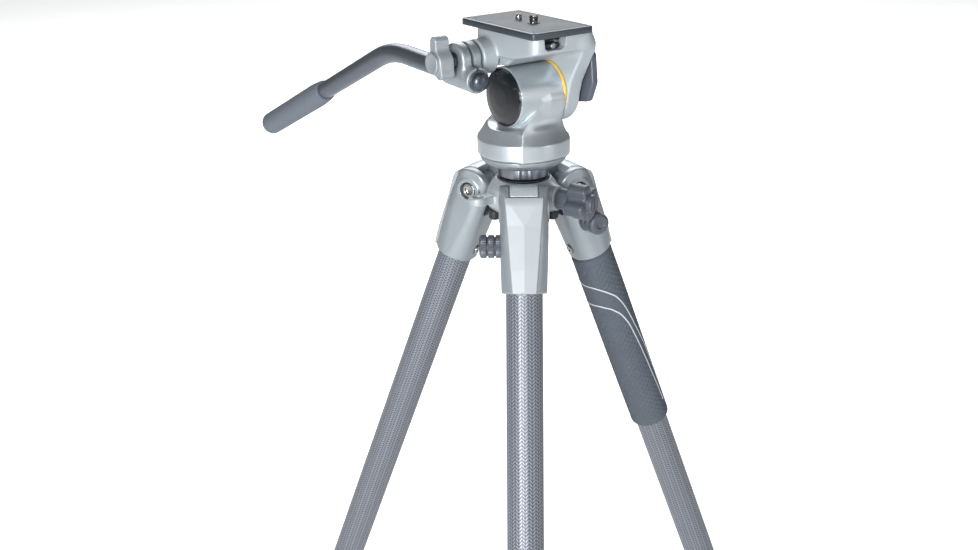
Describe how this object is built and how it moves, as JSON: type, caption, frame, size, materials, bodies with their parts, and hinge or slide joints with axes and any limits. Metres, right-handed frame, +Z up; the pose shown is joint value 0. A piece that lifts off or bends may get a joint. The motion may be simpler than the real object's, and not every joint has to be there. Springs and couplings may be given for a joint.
{
  "type": "tripod with fluid head",
  "caption": "Three-section twist-lock tripod with a rising column, a two-way fluid head, a bent pan handle and a sliding quick-release plate.",
  "frame": {"origin": "on the floor, under the centre column, with the legs on their first stop and all sections home", "axes": "+Z up along the column, -Y along the front leg, +X to the right of it; the head is turned 53.4 degrees about -Z from +X"},
  "size_m": [0.4742, 0.5161, 0.6962],
  "materials": {
    "cast_silver": "satin powder coat over a magnesium casting",
    "tab_silver": "bright satin casting",
    "rubber_dark": "matt moulded rubber",
    "chrome": "bright plated steel",
    "carbon": "grey woven carbon laminate under clear lacquer",
    "column_grey": "anodised grey tube",
    "knob_dark": "fine textured moulding",
    "lock_rubber": "ribbed over-moulded twist collar",
    "foam": "dimpled closed-cell foam",
    "grip_rubber": "soft-touch rubber",
    "bush_dark": "self-lubricating plastic",
    "cap_gloss": "gloss moulding",
    "accent_yellow": "gloss yellow ring",
    "wing_silver": "satin casting with dotted texture",
    "plate_dark": "dark anodised",
    "tube_grey": "dark grey anodised tube"
  },
  "bodies": {
    "canopy": {"canopy": "cast_silver", "canopy_bumpers": "rubber_dark", "hinge_bolts": "chrome", "column_bush": "bush_dark"},
    "column": {"column_tube": "column_grey", "column_top_plate": "cast_silver", "head_stud": "chrome", "column_end_cap": "knob_dark", "weight_hook": "chrome", "pan_base": "cast_silver"},
    "column_knob": {"column_knob": "knob_dark"},
    "front_leg": {"front_casting": "cast_silver", "front_clamp_screw": "chrome", "front_upper_tube": "carbon"},
    "front_angle_tab": {"front_angle_tab": "tab_silver"},
    "front_accessory_screw": {"front_accessory_screw": "knob_dark"},
    "front_upper_lock": {"front_upper_lock": "lock_rubber"},
    "front_mid_leg": {"front_mid_tube": "carbon"},
    "front_lower_lock": {"front_lower_lock": "lock_rubber"},
    "front_lower_leg": {"front_lower_tube": "carbon", "front_foot": "rubber_dark"},
    "right_leg": {"right_casting": "cast_silver", "right_clamp_screw": "chrome", "right_upper_tube": "carbon", "leg_foam_grip": "foam"},
    "right_angle_tab": {"right_angle_tab": "tab_silver"},
    "right_accessory_screw": {"right_accessory_screw": "knob_dark"},
    "right_upper_lock": {"right_upper_lock": "lock_rubber"},
    "right_mid_leg": {"right_mid_tube": "carbon"},
    "right_lower_lock": {"right_lower_lock": "lock_rubber"},
    "right_lower_leg": {"right_lower_tube": "carbon", "right_foot": "rubber_dark"},
    "left_leg": {"left_casting": "cast_silver", "left_clamp_screw": "chrome", "left_upper_tube": "carbon"},
    "left_angle_tab": {"left_angle_tab": "tab_silver"},
    "left_accessory_screw": {"left_accessory_screw": "knob_dark"},
    "left_upper_lock": {"left_upper_lock": "lock_rubber"},
    "left_mid_leg": {"left_mid_tube": "carbon"},
    "left_lower_lock": {"left_lower_lock": "lock_rubber"},
    "left_lower_leg": {"left_lower_tube": "carbon", "left_foot": "rubber_dark"},
    "pan_head": {"pan_body": "cast_silver", "pan_end_cap": "cap_gloss", "accent_ring": "accent_yellow", "drag_cartridge": "bush_dark"},
    "pan_lock": {"pan_lock_knob": "knob_dark"},
    "tilt_head": {"tilt_platform": "cast_silver", "tilt_shaft": "chrome"},
    "tilt_lock": {"tilt_lock_lever": "knob_dark"},
    "plate_catch": {"plate_catch": "knob_dark"},
    "quick_plate": {"quick_plate": "plate_dark", "plate_pad": "rubber_dark"},
    "camera_screw": {"camera_screw": "chrome"},
    "video_pin": {"video_pin": "chrome"},
    "handle": {"handle_clamp": "cast_silver", "handle_tube": "tube_grey", "handle_grip": "grip_rubber", "handle_end_cap": "knob_dark"},
    "wing_knob": {"wing_knob": "wing_silver"}
  },
  "joints": [
    {"name": "column_lift", "type": "slide", "parent": "canopy", "child": "column", "axis": [0, 0, 1], "range_m": [0, 0.25]},
    {"name": "column_knob_turn", "type": "hinge", "parent": "canopy", "child": "column_knob", "pos_m": [0.03118, -0.018, 0.56622], "axis": [0.866, -0.5, 0], "range_deg": [-270, 0]},
    {"name": "front_leg_spread", "type": "hinge", "parent": "canopy", "child": "front_leg", "pos_m": [0, -0.0375, 0.56622], "axis": [-1, 0, 0], "range_deg": [-21.6, 58]},
    {"name": "front_angle_tab_pull", "type": "slide", "parent": "front_leg", "child": "front_angle_tab", "axis": [0, -0.9298, 0.3681], "range_m": [0, 0.004], "stiffness_N_per_m": 120, "springref_m": -0.002},
    {"name": "front_accessory_screw_turn", "type": "hinge", "parent": "front_leg", "child": "front_accessory_screw", "pos_m": [-0.02, -0.04725, 0.54158], "axis": [-1, 0, 0], "continuous": true},
    {"name": "front_upper_lock_turn", "type": "hinge", "parent": "front_leg", "child": "front_upper_lock", "pos_m": [0, -0.22156, 0.10133], "axis": [0, 0.3681, 0.9298], "range_deg": [-120, 0]},
    {"name": "front_mid_slide", "type": "slide", "parent": "front_leg", "child": "front_mid_leg", "axis": [0, -0.3681, -0.9298], "range_m": [0, 0.35]},
    {"name": "front_lower_lock_turn", "type": "hinge", "parent": "front_mid_leg", "child": "front_lower_lock", "pos_m": [0, -0.23997, 0.05484], "axis": [0, 0.3681, 0.9298], "range_deg": [-120, 0]},
    {"name": "front_lower_slide", "type": "slide", "parent": "front_mid_leg", "child": "front_lower_leg", "axis": [0, -0.3681, -0.9298], "range_m": [0, 0.36]},
    {"name": "right_leg_spread", "type": "hinge", "parent": "canopy", "child": "right_leg", "pos_m": [0.03248, 0.01875, 0.56622], "axis": [0.5, -0.866, 0], "range_deg": [-21.6, 58]},
    {"name": "right_angle_tab_pull", "type": "slide", "parent": "right_leg", "child": "right_angle_tab", "axis": [0.8052, 0.4649, 0.3681], "range_m": [0, 0.004], "stiffness_N_per_m": 120, "springref_m": -0.002},
    {"name": "right_accessory_screw_turn", "type": "hinge", "parent": "right_leg", "child": "right_accessory_screw", "pos_m": [0.05092, 0.00631, 0.54158], "axis": [0.5, -0.866, 0], "continuous": true},
    {"name": "right_upper_lock_turn", "type": "hinge", "parent": "right_leg", "child": "right_upper_lock", "pos_m": [0.19188, 0.11078, 0.10133], "axis": [-0.3188, -0.1841, 0.9298], "range_deg": [-120, 0]},
    {"name": "right_mid_slide", "type": "slide", "parent": "right_leg", "child": "right_mid_leg", "axis": [0.3188, 0.1841, -0.9298], "range_m": [0, 0.35]},
    {"name": "right_lower_lock_turn", "type": "hinge", "parent": "right_mid_leg", "child": "right_lower_lock", "pos_m": [0.20782, 0.11998, 0.05484], "axis": [-0.3188, -0.1841, 0.9298], "range_deg": [-120, 0]},
    {"name": "right_lower_slide", "type": "slide", "parent": "right_mid_leg", "child": "right_lower_leg", "axis": [0.3188, 0.1841, -0.9298], "range_m": [0, 0.36]},
    {"name": "left_leg_spread", "type": "hinge", "parent": "canopy", "child": "left_leg", "pos_m": [-0.03248, 0.01875, 0.56622], "axis": [0.5, 0.866, 0], "range_deg": [-21.6, 58]},
    {"name": "left_angle_tab_pull", "type": "slide", "parent": "left_leg", "child": "left_angle_tab", "axis": [-0.8052, 0.4649, 0.3681], "range_m": [0, 0.004], "stiffness_N_per_m": 120, "springref_m": -0.002},
    {"name": "left_accessory_screw_turn", "type": "hinge", "parent": "left_leg", "child": "left_accessory_screw", "pos_m": [-0.03092, 0.04095, 0.54158], "axis": [0.5, 0.866, 0], "continuous": true},
    {"name": "left_upper_lock_turn", "type": "hinge", "parent": "left_leg", "child": "left_upper_lock", "pos_m": [-0.19188, 0.11078, 0.10133], "axis": [0.3188, -0.1841, 0.9298], "range_deg": [-120, 0]},
    {"name": "left_mid_slide", "type": "slide", "parent": "left_leg", "child": "left_mid_leg", "axis": [-0.3188, 0.1841, -0.9298], "range_m": [0, 0.35]},
    {"name": "left_lower_lock_turn", "type": "hinge", "parent": "left_mid_leg", "child": "left_lower_lock", "pos_m": [-0.20782, 0.11998, 0.05484], "axis": [0.3188, -0.1841, 0.9298], "range_deg": [-120, 0]},
    {"name": "left_lower_slide", "type": "slide", "parent": "left_mid_leg", "child": "left_lower_leg", "axis": [-0.3188, 0.1841, -0.9298], "range_m": [0, 0.36]},
    {"name": "pan", "type": "hinge", "parent": "column", "child": "pan_head", "pos_m": [0, 0, 0.59402], "axis": [0, 0, 1], "continuous": true},
    {"name": "pan_lock_turn", "type": "hinge", "parent": "pan_head", "child": "pan_lock", "pos_m": [0.00489, 0.03294, 0.60097], "axis": [0.1468, 0.9892, 0], "range_deg": [-180, 0]},
    {"name": "tilt", "type": "hinge", "parent": "pan_head", "child": "tilt_head", "pos_m": [0.00119, -0.00161, 0.63992], "axis": [0.8032, 0.5957, 0], "range_deg": [-45, 75]},
    {"name": "tilt_lock_turn", "type": "hinge", "parent": "tilt_head", "child": "tilt_lock", "pos_m": [0.02697, 0.01751, 0.63992], "axis": [0.8032, 0.5957, 0], "range_deg": [-20, 50]},
    {"name": "plate_catch_press", "type": "slide", "parent": "tilt_head", "child": "plate_catch", "axis": [-0.5957, 0.8032, 0], "range_m": [0, 0.003], "stiffness_N_per_m": 150, "springref_m": -0.002},
    {"name": "plate_slide", "type": "slide", "parent": "tilt_head", "child": "quick_plate", "axis": [0.5957, -0.8032, 0], "range_m": [-0.012, 0.012]},
    {"name": "camera_screw_turn", "type": "hinge", "parent": "quick_plate", "child": "camera_screw", "pos_m": [0.00715, -0.00964, 0.68592], "axis": [0, 0, 1], "continuous": true},
    {"name": "video_pin_press", "type": "slide", "parent": "quick_plate", "child": "video_pin", "axis": [0, 0, -1], "range_m": [0, 0.003], "stiffness_N_per_m": 100, "springref_m": -0.002},
    {"name": "handle_angle", "type": "hinge", "parent": "tilt_head", "child": "handle", "pos_m": [-0.03381, -0.01014, 0.66782], "axis": [-0.8032, -0.5957, 0], "range_deg": [-100, 30]},
    {"name": "wing_knob_turn", "type": "hinge", "parent": "tilt_head", "child": "wing_knob", "pos_m": [-0.05534, -0.0261, 0.66782], "axis": [-0.8032, -0.5957, 0], "range_deg": [-180, 0]}
  ]
}
